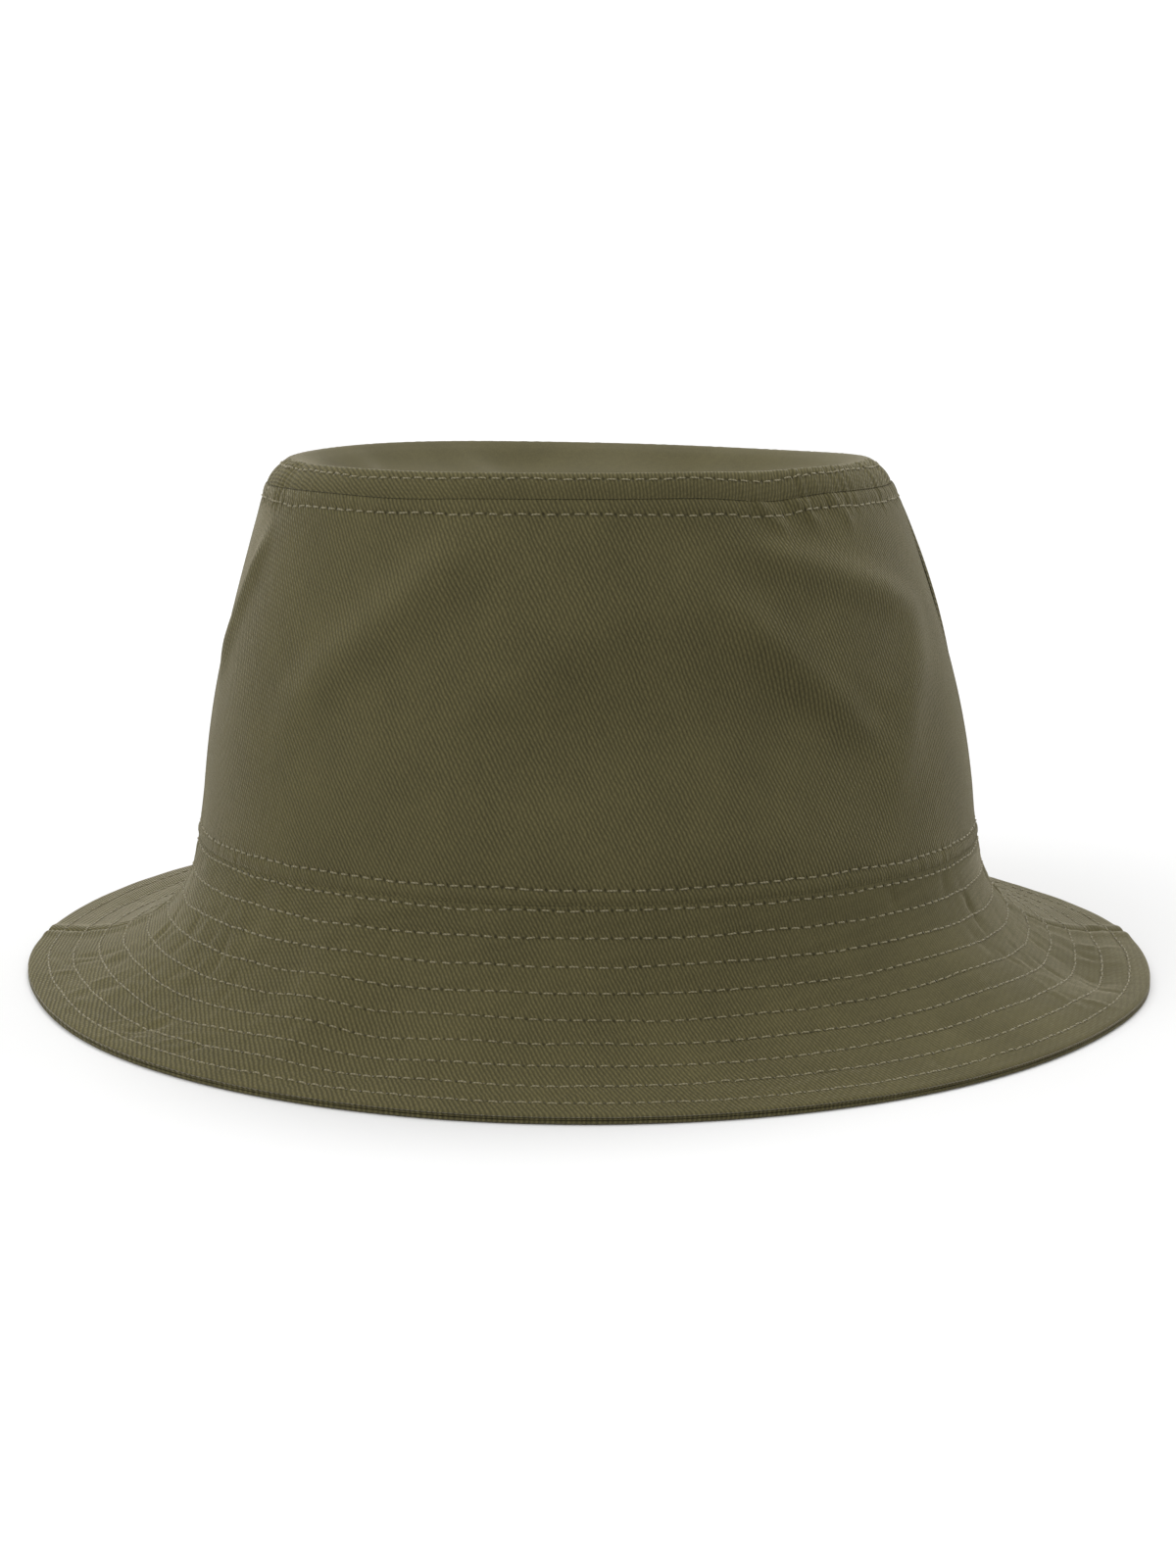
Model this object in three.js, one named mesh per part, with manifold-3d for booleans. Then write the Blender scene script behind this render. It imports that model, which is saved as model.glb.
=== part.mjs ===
// Bucket hat: cloth panels sewn into a crown and a stitched, interlined brim, standing on its rim.
// Millimetres, +Z up, -Y to the front, origin on the floor under the middle of the rim. Left and
// right are as seen from the front, so +X is right. Angles run round the hat from +X: 90 degrees
// is the back, 180 the left side and 270 the front.

import * as THREE from "three";
import { mergeVertices } from "three/addons/utils/BufferGeometryUtils.js";
import Module from "manifold-3d";

const wasm = await Module();
wasm.setup();

// ---------------------------------------------------------------- driving dimensions

// Three ovals carry the whole hat. "lean" is how much lower the back is than the front, halved.
const baseSeam = { halfWidth: 87, halfDepth: 97, offsetX: 0, offsetY: -5.5, height: 32.7, lean: 6.25 };
const topSeam = { halfWidth: 69.6, halfDepth: 75, offsetX: -2, offsetY: 0.2, height: 111.4, lean: 9.7 };
const rim = { halfWidth: 126.8, halfDepth: 135.4, offsetX: 0, offsetY: 0, height: 2.1, lean: 0 };

const crownBulge = 2.5;
const crownHeight = 82;

// The brim hangs almost straight down from its seam, then flares out to the rim. At the seam it
// already flares a little, most at the front, and it hangs most at the back.
const brimFlare = 2;
const brimHang = 0.86;
const brimHangBackExtra = 0.08;
const brimLength = 55.5;

// The brim's side seams run towards the back on their way out to the rim.
const brimSweep = THREE.MathUtils.degToRad(11);

const clothThickness = 0.6;
const stiffenerThickness = 0.5;
const tapeThickness = 0.5;
const sweatbandThickness = 0.8;
const labelThickness = 0.4;
const layerGap = 0.3;
const seamGap = 0.5;

const rowCount = 9;
const rowSpacing = 6.2;
const firstRow = 1.2;
const threadRadius = 0.25;
const baseTopstitchHeight = 3.2;
const crownTopstitchDrop = 3.1;
const tipTopstitchShare = 0.25;

const sweatbandHeight = 28;
const tapeWidth = 8;
const mainLabel = { width: 50, low: 0.09, high: 0.28 };
const careLabel = { width: 25, length: 40, rise: 0.62, clearance: 1.5 };

// Section of the top panel from its sewn edge to the middle: distance in from the edge, then height
// above the edge. It climbs over a rounded ridge and sinks into a shallow bowl inside it.
const tipSection = [
  [0, 0.5],
  [0.8, 2.7],
  [2, 4.7],
  [3.6, 5.5],
  [7.4, 4.3],
  [18, -0.5],
  [42, -4.8],
  [69.6, -6],
];

// Cloth that a whole share would cover at the pace kept over the ridge.
const tipRidgeLength = 16;

const angleSteps = 56;
const crownSteps = 5;
const brimSteps = 6;
const threadSides = 3;
const floorBlock = { width: 400, height: 10 };

const up = new THREE.Vector3(0, 0, 1);

// ---------------------------------------------------------------- the cloth surfaces

function ovalPoint(oval, angle) {
  return new THREE.Vector3(
    oval.offsetX + oval.halfWidth * Math.cos(angle),
    oval.offsetY + oval.halfDepth * Math.sin(angle),
    oval.height - oval.lean * Math.sin(angle),
  );
}

function outward(angle) {
  const direction = new THREE.Vector3(
    Math.cos(angle) / baseSeam.halfWidth,
    Math.sin(angle) / baseSeam.halfDepth,
    0,
  );
  return direction.normalize();
}

// Crown wall: rise 0 at the brim seam, 1 at the top seam.
function crownPoint(angle, rise) {
  const point = ovalPoint(baseSeam, angle).lerp(ovalPoint(topSeam, angle), rise);
  return point.addScaledVector(outward(angle), crownBulge * 4 * rise * (1 - rise));
}

// Brim: evenly spaced points down one section, from the seam to the rim.
const brimSections = new Map();

function brimSection(angle) {
  if (!brimSections.has(angle)) {
    const start = ovalPoint(baseSeam, angle);
    const end = ovalPoint(rim, angle);
    const hang = brimHang + brimHangBackExtra * Math.sin(angle);
    const flare = brimFlare * (1 - Math.sin(angle));
    const bend = start.clone().addScaledVector(outward(angle), flare);
    bend.z -= hang * (start.z - end.z);
    const curve = new THREE.QuadraticBezierCurve3(start, bend, end);
    brimSections.set(angle, curve.getSpacedPoints(brimSteps));
  }
  return brimSections.get(angle);
}

function pointAlong(points, share) {
  const place = share * (points.length - 1);
  const index = Math.min(Math.floor(place), points.length - 2);
  return points[index].clone().lerp(points[index + 1], place - index);
}

// Brim: share 0 at the seam, 1 at the rim.
function brimPoint(angle, share) {
  return pointAlong(brimSection(angle), share);
}

// Top panel: share 0 at its sewn edge, 1 in the middle.
function tipPoint(angle, share) {
  const section = tipSection.map(([inset, rise]) => new THREE.Vector3(inset, 0, rise));
  const place = pointAlong(section, share);
  const scale = 1 - place.x / topSeam.halfWidth;
  return new THREE.Vector3(
    topSeam.offsetX + scale * topSeam.halfWidth * Math.cos(angle),
    topSeam.offsetY + scale * topSeam.halfDepth * Math.sin(angle),
    topSeam.height - scale * topSeam.lean * Math.sin(angle) + place.z,
  );
}

// Unit normal of a surface, pointing out of the hat.
function surfaceNormal(surface, angle, share) {
  const step = 0.001;
  const low = Math.max(share - step, 0);
  const high = Math.min(share + step, 1);
  const around = surface(angle + step, share).sub(surface(angle - step, share));
  const along = surface(angle, high).sub(surface(angle, low));
  const normal = around.cross(along).normalize();
  const side = outward(angle).add(up).dot(normal);
  return side < 0 ? normal.negate() : normal;
}

function crownLayer(angle, rise, depth) {
  return crownPoint(angle, rise).addScaledVector(surfaceNormal(crownPoint, angle, rise), -depth);
}

// Layers of the brim are stacked along the normal at the seam, turning upright at the rim. A line
// of the pattern that leaves the seam at one angle sweeps to the back with the side seams.
function brimLayer(seamAngle, share, depth) {
  const angle = seamAngle + brimSweep * share * Math.cos(seamAngle);
  const direction = surfaceNormal(brimPoint, angle, share).lerp(up, share * share).normalize();
  return brimPoint(angle, share).addScaledVector(direction, -depth);
}

function tipLayer(angle, share, depth) {
  const direction = share < 1 ? surfaceNormal(tipPoint, angle, share) : up;
  return tipPoint(angle, share).addScaledVector(direction, -depth);
}

// ---------------------------------------------------------------- closed bodies

function signedVolume(geometry) {
  const position = geometry.getAttribute("position");
  const index = geometry.getIndex();
  const corners = [new THREE.Vector3(), new THREE.Vector3(), new THREE.Vector3()];
  let total = 0;
  for (let face = 0; face < index.count; face += 3) {
    corners.forEach((corner, i) => corner.fromBufferAttribute(position, index.getX(face + i)));
    total += corners[0].dot(corners[1].clone().cross(corners[2])) / 6;
  }
  return total;
}

// Welds the corners into one closed skin and turns it so that every face looks out.
function closedBody(geometry) {
  geometry.deleteAttribute("normal");
  geometry.deleteAttribute("uv");
  const body = mergeVertices(geometry, 1e-4);
  if (signedVolume(body) < 0) {
    const index = body.getIndex();
    for (let face = 0; face < index.count; face += 3) {
      const second = index.getX(face + 1);
      index.setX(face + 1, index.getX(face + 2));
      index.setX(face + 2, second);
    }
  }
  body.computeVertexNormals();
  return body;
}

// A box bent onto the hat: its width follows the angle, its height the section, its depth the layers.
function bentPanel(layer, panel) {
  const box = new THREE.BoxGeometry(1, 1, 1, panel.angleSteps, panel.shareSteps, 1);
  const position = box.getAttribute("position");
  for (let i = 0; i < position.count; i += 1) {
    const across = panel.angleAt(position.getX(i) + 0.5);
    const share = THREE.MathUtils.lerp(panel.low, panel.high, position.getY(i) + 0.5);
    const depth = THREE.MathUtils.lerp(panel.outer, panel.inner, position.getZ(i) + 0.5);
    const point = layer(across, share, depth);
    position.setXYZ(i, point.x, point.y, point.z);
  }
  return closedBody(box);
}

// Half of the hat's round, from side seam to side seam, kept clear of the other half.
function halfRound(startAngle) {
  const clear = seamGap / 2 / topSeam.halfWidth;
  return (across) => startAngle + THREE.MathUtils.clamp(across * Math.PI, clear, Math.PI - clear);
}

function halfPanel(layer, startAngle, shareSteps, span) {
  return bentPanel(layer, {
    angleSteps: angleSteps / 2,
    shareSteps,
    angleAt: halfRound(startAngle),
    ...span,
  });
}

// A short piece centred on one angle.
function stripPanel(layer, centreAngle, width, steps, span) {
  const reach = width / baseSeam.halfWidth;
  return bentPanel(layer, {
    angleSteps: steps.across,
    shareSteps: steps.along,
    angleAt: (across) => centreAngle + (across - 0.5) * reach,
    ...span,
  });
}

// A closed ring: the section's corners, given as share and depth, are carried right round the hat.
function ringBody(layer, section) {
  const ring = new THREE.TorusGeometry(1, 0.5, section.length, angleSteps);
  const position = ring.getAttribute("position");
  const uv = ring.getAttribute("uv");
  for (let i = 0; i < position.count; i += 1) {
    const angle = Math.round(uv.getX(i) * angleSteps) % angleSteps * (2 * Math.PI / angleSteps);
    const corner = section[Math.round(uv.getY(i) * section.length) % section.length];
    const point = layer(angle, corner.share, corner.depth);
    position.setXYZ(i, point.x, point.y, point.z);
  }
  return closedBody(ring);
}

// A round thread lying just clear of the cloth, at one share of a surface.
function threadRing(layer, share, length) {
  const section = [];
  for (let side = 0; side < threadSides; side += 1) {
    const turn = 2 * Math.PI * side / threadSides;
    section.push({
      share: share + threadRadius * Math.sin(turn) / length,
      depth: -layerGap - threadRadius - threadRadius * Math.cos(turn),
    });
  }
  return ringBody(layer, section);
}

function bandSection(shares, outer, inner) {
  const outside = shares.map((share) => ({ share, depth: outer }));
  const inside = shares.map((share) => ({ share, depth: inner })).reverse();
  return [...outside, ...inside];
}

// ---------------------------------------------------------------- the floor cut

function toManifold(geometry) {
  return new wasm.Manifold(new wasm.Mesh({
    numProp: 3,
    vertProperties: Float32Array.from(geometry.getAttribute("position").array),
    triVerts: Uint32Array.from(geometry.getIndex().array),
  }));
}

function fromManifold(solid) {
  const mesh = solid.getMesh();
  const geometry = new THREE.BufferGeometry();
  geometry.setAttribute("position", new THREE.BufferAttribute(mesh.vertProperties, 3));
  geometry.setIndex(new THREE.BufferAttribute(mesh.triVerts, 1));
  geometry.computeVertexNormals();
  return geometry;
}

// The lowest edge of the brim is pressed flat where the hat stands on it.
function pressedFlat(geometry) {
  const block = new THREE.BoxGeometry(floorBlock.width, floorBlock.width, floorBlock.height);
  block.translate(0, 0, -floorBlock.height / 2);
  return fromManifold(toManifold(geometry).subtract(toManifold(closedBody(block))));
}

// ---------------------------------------------------------------- the pieces

const depths = {
  cloth: { outer: 0, inner: clothThickness },
};
depths.stiffener = {
  outer: depths.cloth.inner + layerGap,
  inner: depths.cloth.inner + layerGap + stiffenerThickness,
};
depths.underBrim = {
  outer: depths.stiffener.inner + layerGap,
  inner: depths.stiffener.inner + layerGap + clothThickness,
};
depths.tape = {
  outer: depths.cloth.inner + layerGap,
  inner: depths.cloth.inner + layerGap + tapeThickness,
};
depths.sweatband = {
  outer: depths.tape.inner + layerGap,
  inner: depths.tape.inner + layerGap + sweatbandThickness,
};
depths.mainLabel = {
  outer: depths.sweatband.inner + layerGap,
  inner: depths.sweatband.inner + layerGap + labelThickness,
};

function crownPanel(startAngle) {
  const span = { low: seamGap / crownHeight, high: 1, ...depths.cloth };
  return halfPanel(crownLayer, startAngle, crownSteps, span);
}

function brimPanel(startAngle, layerDepths) {
  return halfPanel(brimLayer, startAngle, brimSteps, { low: 0, high: 1, ...layerDepths });
}

function tipPanel() {
  const corners = tipSection.length;
  const shell = new THREE.SphereGeometry(1, angleSteps, 2 * corners - 1);
  const position = shell.getAttribute("position");
  const uv = shell.getAttribute("uv");
  for (let i = 0; i < position.count; i += 1) {
    const angle = Math.round(uv.getX(i) * angleSteps) % angleSteps * (2 * Math.PI / angleSteps);
    const row = Math.round((1 - uv.getY(i)) * (2 * corners - 1));
    const outside = row < corners;
    const fromMiddle = outside ? row : 2 * corners - 1 - row;
    const share = 1 - fromMiddle / (corners - 1);
    const point = tipLayer(angle, share, outside ? 0 : clothThickness);
    position.setXYZ(i, point.x, point.y, point.z);
  }
  return closedBody(shell);
}

function sweatband() {
  const top = sweatbandHeight / crownHeight;
  const shares = [2 * seamGap / crownHeight, 1 / crownSteps, top];
  return ringBody(crownLayer, bandSection(shares, depths.sweatband.outer, depths.sweatband.inner));
}

function tipSeamBinding() {
  const top = 1 - seamGap / crownHeight;
  const shares = [top - tapeWidth / crownHeight, top];
  return ringBody(crownLayer, bandSection(shares, depths.tape.outer, depths.tape.inner));
}

function sideSeamBinding(centreAngle) {
  const span = {
    low: 2 * seamGap / crownHeight,
    high: 1 - (tapeWidth + 3 * seamGap) / crownHeight,
    ...depths.tape,
  };
  return stripPanel(crownLayer, centreAngle, tapeWidth, { across: 2, along: crownSteps }, span);
}

function mainLabelPatch() {
  const span = { low: mainLabel.low, high: mainLabel.high, ...depths.mainLabel };
  return stripPanel(crownLayer, Math.PI / 2, mainLabel.width, { across: 6, along: 2 }, span);
}

// A flat tape label hanging straight down inside, sewn by its top edge to the left seam binding.
function careLabelStrip() {
  const depth = depths.tape.inner + careLabel.clearance + labelThickness / 2;
  const hang = crownLayer(Math.PI, careLabel.rise, depth);
  const strip = new THREE.BoxGeometry(labelThickness, careLabel.width, careLabel.length, 1, 2, 4);
  strip.translate(hang.x, hang.y, hang.z - careLabel.length / 2);
  return closedBody(strip);
}

// ---------------------------------------------------------------- materials

function cloth(color) {
  return new THREE.MeshStandardMaterial({ color, roughness: 0.95, metalness: 0 });
}

const oliveTwill = cloth(0x54502f);
const oliveLining = cloth(0x4a4730);
const interlining = cloth(0xd8d4c4);
const bandCotton = cloth(0x3f3d2a);
const tapeCotton = cloth(0x59553a);
const labelSatin = cloth(0xe6e3d8);
const sewingThread = cloth(0x7a7350);

// ---------------------------------------------------------------- assembly

const hat = new THREE.Group();
hat.name = "bucket_hat";

function addPiece(name, geometry, material) {
  const mesh = new THREE.Mesh(geometry, material);
  mesh.name = name;
  hat.add(mesh);
}

const halves = [
  { side: "back", startAngle: 0 },
  { side: "front", startAngle: Math.PI },
];

addPiece("tip_panel", tipPanel(), oliveTwill);
for (const { side, startAngle } of halves) {
  addPiece(`crown_panel_${side}`, crownPanel(startAngle), oliveTwill);
  addPiece(`upper_brim_${side}`, brimPanel(startAngle, depths.cloth), oliveTwill);
  addPiece(`brim_stiffener_${side}`, brimPanel(startAngle, depths.stiffener), interlining);
  addPiece(`under_brim_${side}`, pressedFlat(brimPanel(startAngle, depths.underBrim)), oliveLining);
}

addPiece("sweatband", sweatband(), bandCotton);
addPiece("tip_seam_binding", tipSeamBinding(), tapeCotton);
addPiece("side_seam_binding_right", sideSeamBinding(0), tapeCotton);
addPiece("side_seam_binding_left", sideSeamBinding(Math.PI), tapeCotton);
addPiece("main_label", mainLabelPatch(), labelSatin);
addPiece("care_label", careLabelStrip(), labelSatin);

const crownTopstitchRise = 1 - crownTopstitchDrop / crownHeight;
addPiece("tip_topstitch", threadRing(tipLayer, tipTopstitchShare, tipRidgeLength), sewingThread);
addPiece("crown_top_topstitch", threadRing(crownLayer, crownTopstitchRise, crownHeight), sewingThread);
addPiece(
  "crown_base_topstitch",
  threadRing(crownLayer, baseTopstitchHeight / crownHeight, crownHeight),
  sewingThread,
);
for (let row = 0; row < rowCount; row += 1) {
  const share = (firstRow + row * rowSpacing) / brimLength;
  addPiece(`brim_stitch_row_${row + 1}`, threadRing(brimLayer, share, brimLength), sewingThread);
}

export default hat;
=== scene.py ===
# Looks of the bucket hat: cloth panels, interlining, bands, labels and machine stitching, built at
# full detail in the frame that the CAD parts share. Metres, +Z up, -Y to the front of the hat. Angles run
# round the hat from +X: 90 degrees is the back, 180 the left side and 270 the front.
import math

import bpy
import numpy as np
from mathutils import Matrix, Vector


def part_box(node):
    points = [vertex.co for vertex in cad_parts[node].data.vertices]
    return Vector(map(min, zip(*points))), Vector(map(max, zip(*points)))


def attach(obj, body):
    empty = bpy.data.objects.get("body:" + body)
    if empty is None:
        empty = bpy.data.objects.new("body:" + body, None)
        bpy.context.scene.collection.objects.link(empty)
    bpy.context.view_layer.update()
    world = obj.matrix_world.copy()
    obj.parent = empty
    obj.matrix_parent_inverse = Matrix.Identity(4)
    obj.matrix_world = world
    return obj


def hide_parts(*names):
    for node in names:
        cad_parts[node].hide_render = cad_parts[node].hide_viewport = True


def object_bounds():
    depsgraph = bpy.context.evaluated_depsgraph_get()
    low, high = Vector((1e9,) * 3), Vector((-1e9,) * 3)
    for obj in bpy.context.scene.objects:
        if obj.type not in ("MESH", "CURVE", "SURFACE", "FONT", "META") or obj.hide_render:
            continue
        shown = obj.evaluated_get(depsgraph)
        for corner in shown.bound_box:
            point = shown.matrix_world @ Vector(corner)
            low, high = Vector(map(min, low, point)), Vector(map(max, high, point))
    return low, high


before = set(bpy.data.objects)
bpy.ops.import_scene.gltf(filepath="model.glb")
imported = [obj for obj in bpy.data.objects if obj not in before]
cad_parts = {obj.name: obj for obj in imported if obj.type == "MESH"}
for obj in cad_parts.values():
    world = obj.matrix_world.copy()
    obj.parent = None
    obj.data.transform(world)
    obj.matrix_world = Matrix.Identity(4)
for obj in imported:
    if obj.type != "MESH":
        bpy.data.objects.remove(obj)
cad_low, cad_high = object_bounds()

MM = 0.001
TAU = 2 * math.pi

# ------------------------------------------------------------------ shape, as in the CAD source
# Three ovals carry the hat: the brim seam, the top seam and the rim.
BASE = dict(half_width=87 * MM, half_depth=97 * MM, x=0.0, y=-5.5 * MM, height=32.7 * MM, lean=6.25 * MM)
TOP = dict(half_width=69.6 * MM, half_depth=75 * MM, x=-2 * MM, y=0.2 * MM, height=111.4 * MM, lean=9.7 * MM)
RIM = dict(
    half_width=(cad_high.x - cad_low.x) / 2,
    half_depth=(cad_high.y - cad_low.y) / 2,
    x=(cad_high.x + cad_low.x) / 2,
    y=(cad_high.y + cad_low.y) / 2,
    height=2.1 * MM,
    lean=0.0,
)
CROWN_BULGE = 2.5 * MM
CROWN_HEIGHT = 82 * MM
CROWN_RADIUS = 85 * MM
BRIM_RADIUS = 90 * MM
BRIM_LENGTH = 55.5 * MM
BRIM_FLARE = 2 * MM
BRIM_HANG = 0.86
BRIM_HANG_BACK_EXTRA = 0.08
BRIM_SECTION_STEPS = 48
# The cloth's thickness, then the depths below its outer face where the layers inside start and end.
CLOTH = 0.6 * MM
STIFFENER = (0.9 * MM, 1.4 * MM)
UNDER_BRIM = (1.7 * MM, 2.3 * MM)
TAPE = (0.9 * MM, 1.4 * MM)
SWEATBAND = (1.7 * MM, 2.5 * MM)
LABEL = (2.8 * MM, 3.2 * MM)
# Top panel, from its sewn edge to the middle: distance in from the edge, height above it.
TIP_SECTION = np.array([
    [0, 0.1], [0.8, 2.6], [2, 4.7], [3.6, 5.5], [7.4, 4.3], [18, -0.5], [42, -4.8], [69.6, -6],
]) * MM
ROW_COUNT = 9
ROW_SPACING = 6.2 * MM
FIRST_ROW = 1.2 * MM
BASE_TOPSTITCH = 3.2 * MM
CROWN_TOPSTITCH = 3.1 * MM
TIP_TOPSTITCH_SHARE = 0.25
BRIM_SWEEP = math.radians(11)
STITCH_PITCH = 3.1 * MM
STITCH_LENGTH = 2.15 * MM
THREAD_RADIUS = 0.19 * MM
THREAD_SIDES = 6
THREAD_RINGS = 7
TIP_RIDGE_LENGTH = 16 * MM


def oval(shape, angle):
    """Points round an oval that leans down towards the back."""
    return np.stack([
        shape["x"] + shape["half_width"] * np.cos(angle),
        shape["y"] + shape["half_depth"] * np.sin(angle),
        shape["height"] - shape["lean"] * np.sin(angle),
    ], -1)


def outward(angle):
    """The level direction straight out of the brim seam's oval."""
    x, y = np.cos(angle) / BASE["half_width"], np.sin(angle) / BASE["half_depth"]
    flat = np.stack([x, y, 0 * angle], -1)
    return flat / np.linalg.norm(flat, axis=-1, keepdims=True)


# ------------------------------------------------------------------ small shaping functions
def smoothstep(low, high, value):
    """Climbs from 0 at low to 1 at high, level at both ends. Falls where high is below low."""
    t = np.clip((value - low) / (high - low), 0, 1)
    return t * t * (3 - 2 * t)


def bell(value, spread):
    """1 at zero, fading to both sides."""
    return np.exp(-(value / spread) ** 2)


def turn_from(angle, degrees):
    """Signed degrees from one direction, the short way round."""
    return (np.degrees(angle) - degrees + 180) % 360 - 180


def side_seam_distance(angle, radius):
    """Distance to the nearer side seam, along a ring of the given radius."""
    return np.abs(np.arcsin(np.clip(np.sin(angle), -1, 1))) * radius


def swept(angle, share):
    """Where a line down the brim that starts at an angle has got to: the cloth sweeps to the back."""
    return angle + BRIM_SWEEP * np.clip(share, 0, 1) * np.cos(angle)


def unswept(angle, share):
    """Where the line down the brim that has got to an angle started."""
    first = angle - BRIM_SWEEP * np.clip(share, 0, 1) * np.cos(angle)
    return angle - BRIM_SWEEP * np.clip(share, 0, 1) * np.cos(first)


def ripple(seed, count, a, b, slow, fast):
    """Smooth noise of unit size over two coordinates, from a fixed set of waves."""
    random = np.random.default_rng(seed)
    total = np.zeros(np.broadcast(a, b).shape)
    for _ in range(count):
        heading, pace = random.uniform(0, TAU), random.uniform(slow, fast)
        phase = random.uniform(0, TAU)
        total += np.sin(TAU * pace * (a * math.cos(heading) + b * math.sin(heading)) + phase)
    return total / math.sqrt(count / 2)


def gathers(seed, around, slow=180, fast=340):
    """Ridges across a seam at uneven distances: unit size, in waves per metre."""
    random = np.random.default_rng(seed)
    total = np.zeros(np.shape(around))
    for pace in np.linspace(slow, fast, 7):
        total += np.sin(TAU * pace * around + random.uniform(0, TAU))
    return total / math.sqrt(3.5)


# ------------------------------------------------------------------ crown
# Soft folds of the crown: (degrees round, rise) at both ends, width and height.
CROWN_FOLDS = [
    ((250, 0.86), (222, 0.48), 6.8 * MM, 2.0 * MM),
    ((296, 0.70), (318, 0.40), 4.8 * MM, 1.8 * MM),
    ((301, 0.87), (335, 0.70), 4.8 * MM, 1.8 * MM),
    ((199, 0.835), (188, 0.515), 4.0 * MM, 1.4 * MM),
    ((233, 0.40), (262, 0.12), 9.0 * MM, 1.0 * MM),
    ((338, 0.62), (322, 0.25), 7.0 * MM, 1.2 * MM),
    ((302, 1.02), (308, 0.92), 1.9 * MM, 0.7 * MM),
    ((310, 1.02), (316, 0.93), 1.7 * MM, 0.6 * MM),
    ((321, 1.00), (325, 0.92), 1.8 * MM, 0.5 * MM),
    ((20, 0.80), (42, 0.42), 6.0 * MM, 1.3 * MM),
    ((78, 0.30), (104, 0.62), 8.0 * MM, 1.2 * MM),
    ((150, 0.78), (128, 0.40), 6.0 * MM, 1.4 * MM),
]


def fold(angle, rise, start, end, width, tall):
    """A ridge along a straight line on the crown, fading out at both ends."""
    x = CROWN_RADIUS * np.radians(turn_from(angle, start[0]))
    y = (rise - start[1]) * CROWN_HEIGHT
    dx = CROWN_RADIUS * math.radians(end[0] - start[0])
    dy = (end[1] - start[1]) * CROWN_HEIGHT
    length = math.hypot(dx, dy)
    along = (x * dx + y * dy) / length ** 2
    off = (x * dy - y * dx) / length
    return tall * bell(off, width) * smoothstep(-0.3, 0.2, along) * smoothstep(1.3, 0.8, along)


def front_dent(angle, rise):
    """The front leans in under a fold: a triangle with its point up, deepest near its lower edge."""
    off = turn_from(angle, 286)
    opening = np.clip((0.77 - rise) / 0.33, 0, 1)
    reach = np.where(off < 0, 19, 24) * opening + 6
    side = smoothstep(1.5, 0.4, np.abs(off) / reach)
    return -4.2 * MM * side * smoothstep(0.79, 0.43, rise) * smoothstep(0.04, 0.44, rise)


def seam_sag(angle):
    """How far the top seam drops below its oval."""
    return 1.2 * MM * bell(turn_from(angle, 306), 9) + 0.5 * MM * bell(turn_from(angle, 236), 12)


def gather_size(angle):
    """How tall the gathers at the top seam are: tallest at the right front and at both ends."""
    ends = bell(turn_from(angle, 344), 9) + bell(turn_from(angle, 196), 9)
    return 0.03 * MM + 0.12 * MM * bell(turn_from(angle, 316), 12) + 0.1 * MM * ends


def crown_base(angle, rise):
    """Point on the crown wall without its relief: rise 0 at the brim seam, 1 at the top seam."""
    low, high = oval(BASE, angle), oval(TOP, angle)
    point = low + (high - low) * rise[..., None]
    point = point + outward(angle) * (CROWN_BULGE * 4 * rise * (1 - rise))[..., None]
    point[..., 2] -= seam_sag(angle) * smoothstep(0.75, 1, rise)
    return point


def crown_relief(angle, rise):
    """How far folds, gathers, seams and stitches move the crown's cloth out."""
    around = angle * CROWN_RADIUS
    above, below = rise * CROWN_HEIGHT, (1 - rise) * CROWN_HEIGHT
    inside = smoothstep(0, 0.15, rise) * smoothstep(1, 0.9, rise)
    total = ripple(11, 9, around, above, 8, 22) * 0.3 * MM * inside
    for one in CROWN_FOLDS:
        total = total + fold(angle, rise, *one)
    total = total + front_dent(angle, rise)
    # the right side stands out a little
    total = total + 1.1 * MM * bell(turn_from(angle, 0), 24) * bell(rise - 0.6, 0.3)
    top_gathers = gathers(12, around) * gather_size(angle)
    total = total + top_gathers * smoothstep(7 * MM, 2.5 * MM, below)
    total = total + gathers(13, around) * 0.05 * MM * smoothstep(6 * MM, 2 * MM, above)
    # seam allowances lift the cloth beside each seam, and the seams and stitches pull it in
    total = total + 0.1 * MM * bell(below - 1.6 * MM, 1.3 * MM) - 0.1 * MM * bell(below, 0.3 * MM)
    total = total - 0.12 * MM * bell(below - CROWN_TOPSTITCH, 0.7 * MM)
    total = total + 0.3 * MM * bell(above - 1.4 * MM, 1.8 * MM) - 0.15 * MM * bell(above, 0.3 * MM)
    total = total - 0.16 * MM * bell(above - BASE_TOPSTITCH, 0.7 * MM)
    side = side_seam_distance(angle, CROWN_RADIUS)
    return total + 0.3 * MM * bell(side - 3 * MM, 2.4 * MM) - 0.35 * MM * bell(side, 0.6 * MM)


# ------------------------------------------------------------------ brim
# Waves of the brim: degrees round and their spread, share of the width and its spread, height.
BRIM_WAVES = [
    (325, 15, 0.50, 0.30, 1.9 * MM),
    (234, 5, 0.45, 0.35, 1.5 * MM),
    (244, 5, 0.50, 0.35, -1.0 * MM),
    (213, 9, 0.68, 0.22, -1.4 * MM),
    (256, 5, 0.40, 0.30, 0.7 * MM),
    (280, 9, 0.45, 0.22, -0.6 * MM),
    (351, 7, 0.78, 0.20, -1.8 * MM),
    (28, 14, 0.45, 0.30, 1.5 * MM),
    (70, 18, 0.60, 0.25, -1.0 * MM),
    (112, 15, 0.50, 0.30, 1.3 * MM),
    (152, 14, 0.60, 0.25, -1.2 * MM),
]


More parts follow.
